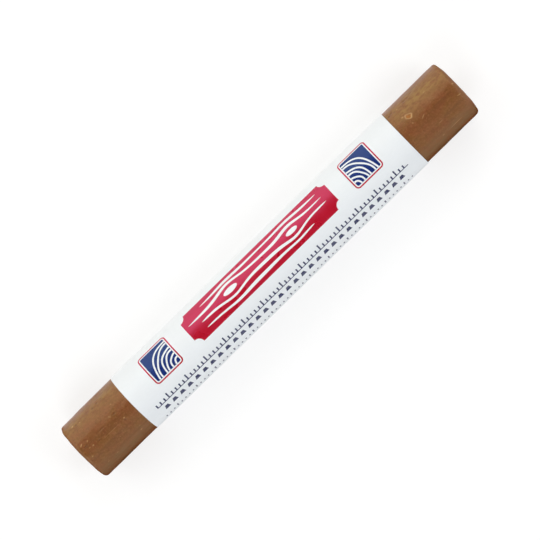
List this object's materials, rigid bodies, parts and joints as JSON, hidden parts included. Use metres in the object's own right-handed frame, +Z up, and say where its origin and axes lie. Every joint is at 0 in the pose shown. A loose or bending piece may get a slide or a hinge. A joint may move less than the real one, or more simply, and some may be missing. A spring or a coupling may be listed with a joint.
{
  "type": "furniture repair wax stick",
  "caption": "Round cast stick of brown filler wax with slightly crowned ends and a printed self-adhesive label wound round its middle, rubbed into scratches in wood.",
  "frame": {"origin": "on the table under the middle of the stick's length, where the label touches it", "axes": "+X along the stick towards the end with the longer bare stretch, +Y across it, +Z up through the front of the label"},
  "size_m": [0.1, 0.013, 0.013],
  "materials": {
    "wax": "satin brown wax, faintly streaked along the stick",
    "adhesive": "clear tacky acrylic coat",
    "label": "coated white label stock, glossy"
  },
  "bodies": {
    "root": {"wax_rod": "wax", "label_adhesive": "adhesive", "label_sheet": "label"}
  },
  "joints": []
}
